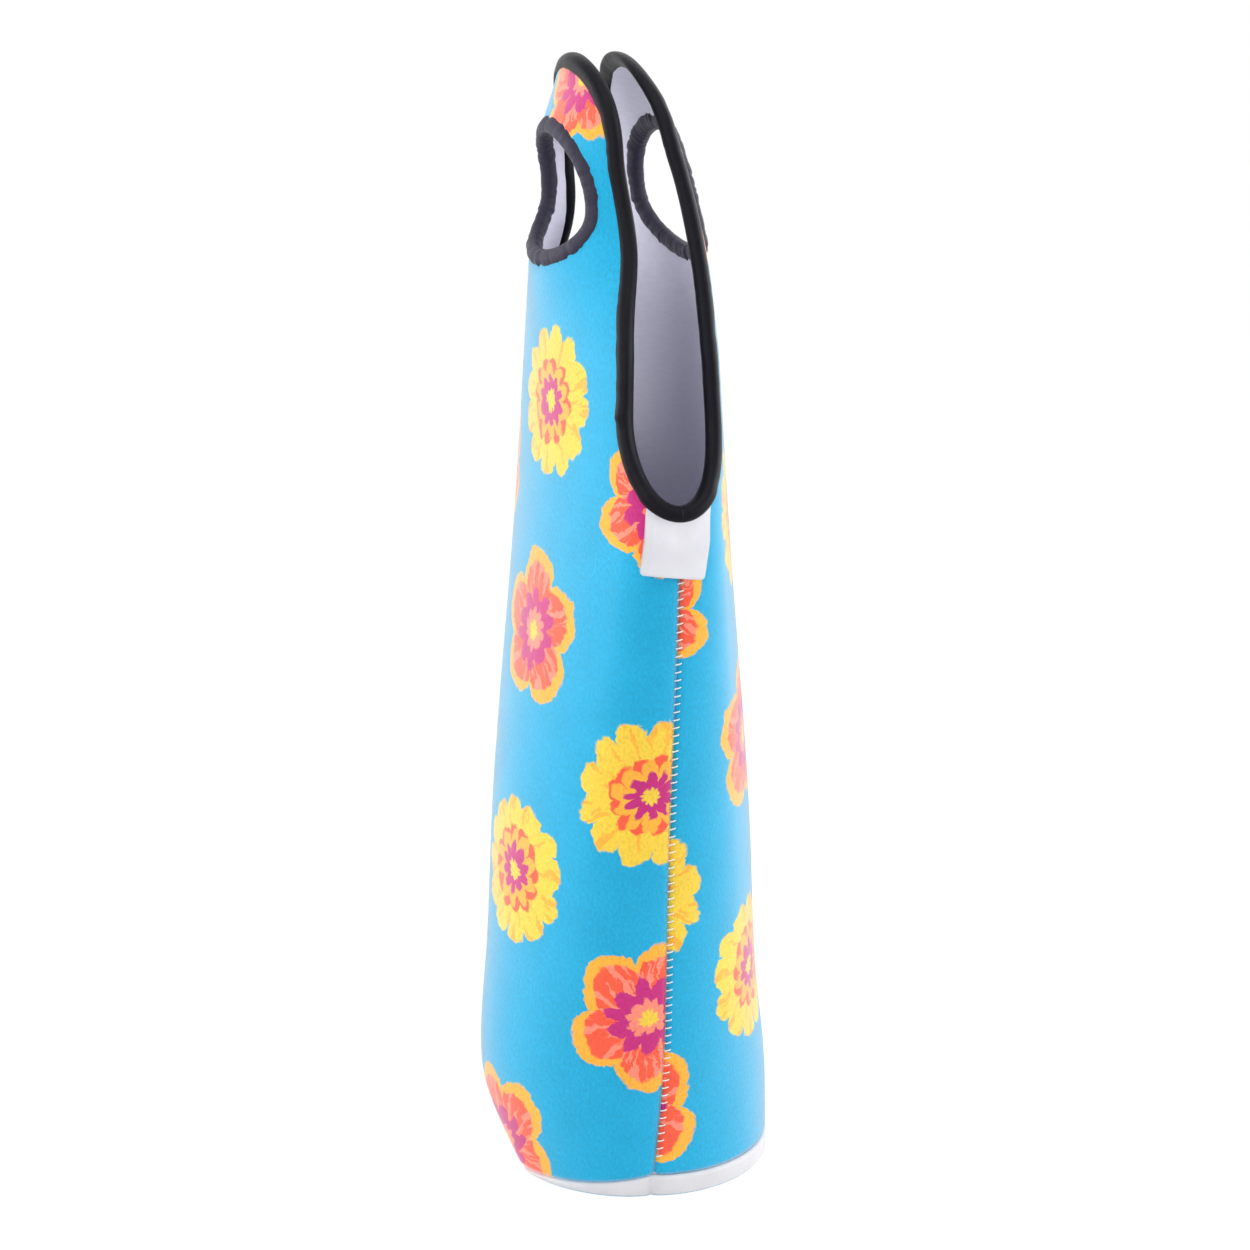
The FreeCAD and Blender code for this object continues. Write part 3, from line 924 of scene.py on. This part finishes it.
def flower_print(graph, across, up, shift):
    across = graph.add(across, shift[0])
    up = graph.add(up, shift[1])
    column = graph.math("FLOOR", graph.times(across, 1 / flower_pitch_across))
    odd = graph.math("FLOORED_MODULO", column, 2.0)
    up = graph.add(up, graph.times(odd, flower_pitch_up / 2))
    row = graph.math("FLOOR", graph.times(up, 1 / flower_pitch_up))
    dice = graph.node("TexWhiteNoise", noise_dimensions="2D")
    graph.put(graph.vector(column, row), dice.inputs["Vector"])
    chance = graph.node("SeparateXYZ")
    graph.put(dice.outputs["Color"], chance.inputs[0])
    across, up = graph.brushed(*graph.brushed(across, up, 0.08, flower_sway), 0.5, flower_fray)
    x = graph.math("SUBTRACT", across, graph.times(graph.add(column, 0.5), flower_pitch_across))
    y = graph.math("SUBTRACT", up, graph.times(graph.add(row, 0.5), flower_pitch_up))
    y = graph.add(y, graph.times(graph.math("SUBTRACT", chance.outputs[1], 0.5), flower_wander))
    turn = graph.add(graph.math("ARCTAN2", y, x), graph.times(chance.outputs[0], 2 * math.pi))
    radius = graph.math("SQRT", graph.add(graph.times(x, x), graph.times(y, y)))
    size = graph.add(graph.times(chance.outputs[2], 0.18), 0.86)
    radius = graph.math("DIVIDE", radius, graph.times(size, flower_radius))
    streak = graph.noise(graph.vector(graph.times(turn, 5.0), graph.times(radius, 1.2)), 1.4)

    blossom_share = graph.math("DIVIDE", radius, petals(graph, turn, 5, 0.3, 0.6))
    petal = graph.mix(graph.below(streak, 0.47, 0.02), CORAL, SALMON)
    heart = graph.math("DIVIDE", radius, petals(graph, turn, 10, 0.35, 0.8))
    blossom = layered(graph, CYAN, blossom_share, ((1.0, ORANGE), (0.84, petal)))
    blossom = layered(graph, blossom, heart, ((0.52, MAGENTA), (0.26, SALMON), (0.12, YELLOW)))

    rosette_share = graph.math("DIVIDE", radius, petals(graph, turn, 12, 0.2, 0.5))
    ray = graph.mix(graph.below(streak, 0.42, 0.02), YELLOW, ORANGE)
    rosette = layered(graph, CYAN, rosette_share, ((0.95, ray), (0.55, CORAL)))
    rosette = layered(graph, rosette, heart, ((0.5, ORANGE), (0.34, MAGENTA), (0.14, YELLOW)))
    kind = graph.math("FLOORED_MODULO", graph.add(row, odd), 2.0)
    return graph.mix(kind, blossom, rosette)


def worn(graph, color, vector, scale, amount):
    """The colour made lighter and darker by noise."""
    shade = graph.add(graph.times(graph.noise(vector, scale, 3.0), 2 * amount), 1 - amount)
    varied = graph.node("Mix", data_type="RGBA", blend_type="MULTIPLY")
    varied.inputs[0].default_value = 1.0
    graph.put(color, varied.inputs[6])
    graph.put(shade, varied.inputs[7])
    return varied.outputs[2]


def print_material(name, shift):
    graph = Graph(name, roughness=0.8, sheen=1.0, sheen_spread=0.41)
    across, up = graph.cloth_mm()
    color = flower_print(graph, across, up, shift)
    color = worn(graph, color, graph.vector(across, up), 0.06, 0.1)
    grain = graph.vector(graph.times(across, 1.5), up)
    graph.color(worn(graph, color, grain, 0.75, 0.28))
    relief = graph.add(graph.times(knit(graph, across, up), 0.4), graph.noise(grain, 0.75, 3.0))
    graph.bump(relief, 0.5, 0.15)
    return graph.material


def jersey_material(name, color, sheen):
    """Plain jersey that takes its knit from the cloth coordinates."""
    graph = Graph(name, roughness=0.85, sheen=sheen)
    across, up = graph.cloth_mm()
    graph.color(worn(graph, color, graph.vector(graph.times(across, 0.2), up), 0.9, 0.08))
    graph.bump(knit(graph, across, up), 0.25, 0.06)
    return graph.material


def plain_material(name, color, roughness, sheen, scale):
    """Cloth or foam that takes its grain from its place."""
    graph = Graph(name, roughness, sheen)
    place = graph.place_mm()
    graph.color(worn(graph, color, place, 0.1, 0.12))
    graph.bump(graph.noise(place, scale, 4.0), 0.3, 0.12)
    return graph.material


def tape_material(name, color, roughness, specular, wrinkle):
    """Knit tape with fine ribs and with wrinkles across its length."""
    graph = Graph(name, roughness, sheen=0.05, specular=specular)
    along, around = graph.cloth_mm()
    rib = graph.times(graph.wave(along, 0.9), graph.wave(around, 0.7))
    fold = graph.noise(graph.vector(along, graph.times(around, 0.3)), 0.6, 3.0)
    graph.color(worn(graph, color, graph.vector(along, around), 0.4, 0.3))
    graph.bump(graph.add(graph.times(rib, 0.06), graph.times(fold, wrinkle)), 0.8, 0.6)
    return graph.material


def underside_material():
    graph = Graph("underside_print", roughness=0.85, sheen=0.2)
    split = graph.node("SeparateXYZ")
    graph.put(graph.place_mm(), split.inputs[0])
    graph.color(flower_print(graph, split.outputs[0], split.outputs[1], (25.0, 43.0)))
    graph.bump(knit(graph, split.outputs[0], split.outputs[1]), 0.25, 0.06)
    return graph.material


# Stage
PHOTO_SIZE = 1250
SENSOR_MM = 36.0
FOCAL_PIXELS = 3015.3
CAMERA_PLACE = Vector((0.9065, -0.2773, 0.4163))
CAMERA_TARGET = Vector((0.0, 0.00177, 0.17805))
# Name, place, size and power of each lamp.
LAMPS = (
    ("key", (0.7, -0.9, 0.55), 0.8, 4.4),
    ("fill", (0.45, 1.05, 0.5), 0.8, 8.2),
    ("left_rim", (-0.5, -0.9, 0.4), 0.8, 7.0),
    ("right_rim", (-0.3, 1.0, 0.5), 0.8, 4.7),
    ("top", (0.35, -0.1, 1.05), 0.6, 2.5),
)
LAMP_TARGET = (0, 0, 0.17)
WORLD_LIGHT = 0.42
FLOOR_HALF_SIDE = 3.0
FLOOR_LEVEL = -0.0002
FLOOR_GLOW = 1.18
FLOOR_GLOW_SHARE = 0.78


def aim(obj, place, target):
    obj.location = place
    obj.rotation_euler = (Vector(target) - Vector(place)).to_track_quat("-Z", "Y").to_euler()
    bpy.context.scene.collection.objects.link(obj)


def add_camera():
    data = bpy.data.cameras.new("camera")
    data.sensor_width = SENSOR_MM
    data.lens = FOCAL_PIXELS / PHOTO_SIZE * SENSOR_MM
    data.clip_start = 0.01
    camera = bpy.data.objects.new("camera", data)
    aim(camera, CAMERA_PLACE, CAMERA_TARGET)
    bpy.context.scene.camera = camera


def add_lamp(name, place, size, power):
    data = bpy.data.lights.new(name, "AREA")
    data.size = size
    data.energy = power
    aim(bpy.data.objects.new(name, data), place, LAMP_TARGET)


def seen_by_eye(tree):
    """1 for camera, glossy and transmission rays."""
    path = tree.nodes.new("ShaderNodeLightPath")
    total = path.outputs["Is Camera Ray"]
    for name in ("Is Glossy Ray", "Is Transmission Ray"):
        either = tree.nodes.new("ShaderNodeMath")
        either.operation = "MAXIMUM"
        tree.links.new(total, either.inputs[0])
        tree.links.new(path.outputs[name], either.inputs[1])
        total = either.outputs[0]
    return total


def white_world(strength):
    """White to the eye, softer as a light."""
    world = bpy.data.worlds.new("studio")
    world.use_nodes = True
    bpy.context.scene.world = world
    tree = world.node_tree
    light = tree.nodes["Background"]
    light.inputs["Color"].default_value = (1, 1, 1, 1)
    light.inputs["Strength"].default_value = strength
    white = tree.nodes.new("ShaderNodeBackground")
    white.inputs["Color"].default_value = (1, 1, 1, 1)
    mixed = tree.nodes.new("ShaderNodeMixShader")
    tree.links.new(seen_by_eye(tree), mixed.inputs[0])
    tree.links.new(light.outputs[0], mixed.inputs[1])
    tree.links.new(white.outputs[0], mixed.inputs[2])
    tree.links.new(mixed.outputs[0], tree.nodes["World Output"].inputs["Surface"])


def add_floor():
    """Pale floor that reads as white and keeps a faint shadow."""
    material = bpy.data.materials.new("floor")
    material.use_nodes = True
    tree = material.node_tree
    paper = tree.nodes["Principled BSDF"]
    paper.inputs["Base Color"].default_value = (0.85, 0.85, 0.85, 1)
    paper.inputs["Roughness"].default_value = 0.9
    glow = tree.nodes.new("ShaderNodeEmission")
    glow.inputs["Strength"].default_value = FLOOR_GLOW
    shown = tree.nodes.new("ShaderNodeMath")
    shown.operation = "MULTIPLY"
    shown.inputs[1].default_value = FLOOR_GLOW_SHARE
    tree.links.new(seen_by_eye(tree), shown.inputs[0])
    mixed = tree.nodes.new("ShaderNodeMixShader")
    tree.links.new(shown.outputs[0], mixed.inputs[0])
    tree.links.new(paper.outputs[0], mixed.inputs[1])
    tree.links.new(glow.outputs[0], mixed.inputs[2])
    tree.links.new(mixed.outputs[0], tree.nodes["Material Output"].inputs["Surface"])
    mesh = bpy.data.meshes.new("floor")
    signs = ((-1, -1), (1, -1), (1, 1), (-1, 1))
    corners = [(x * FLOOR_HALF_SIDE, y * FLOOR_HALF_SIDE, FLOOR_LEVEL) for x, y in signs]
    mesh.from_pydata(corners, [], [(0, 1, 2, 3)])
    mesh.materials.append(material)
    floor = bpy.data.objects.new("floor", mesh)
    bpy.context.scene.collection.objects.link(floor)


def main():
    for obj in list(bpy.data.objects):
        bpy.data.objects.remove(obj)
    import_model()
    lining = jersey_material("lining_jersey", srgb(232, 231, 246), 0.2)
    foam = plain_material("foam_edge", srgb(225, 225, 222), 0.9, 0.0, 3.0)
    white = plain_material("base_jersey", srgb(220, 218, 222), 0.85, 0.2, 2.5)
    thread = plain_material("thread", srgb(232, 232, 228), 0.7, 0.3, 4.0)
    cloth_label = plain_material("label_weave", srgb(221, 221, 227), 0.7, 0.2, 2.5)
    mouth = tape_material("mouth_tape", srgb(14, 13, 21), 0.34, 0.11, 0.25)
    hole = tape_material("hole_tape", srgb(58, 55, 70), 0.42, 0.1, 1.0)
    for (name, side), shift in zip(SIDES, ((12.0, 30.0), (-8.0, 64.0))):
        panel(name, side, {"print": print_material(name + "_print", shift), "lining": lining, "foam": foam})
        mouth_tape(name, side, mouth)
        hole_tape(name, side, hole)
    seam_stitches("near", 1, near_seam_high, thread)
    seam_stitches("far", -1, far_seam_high, thread)
    label(cloth_label)
    base_shell(white, underside_material())
    base_floor(plain_material("floor_lining", srgb(232, 231, 246), 0.85, 0.2, 2.5))
    add_camera()
    white_world(WORLD_LIGHT)
    for lamp in LAMPS:
        add_lamp(*lamp)
    add_floor()
    bpy.context.scene.view_settings.view_transform = "Standard"


main()
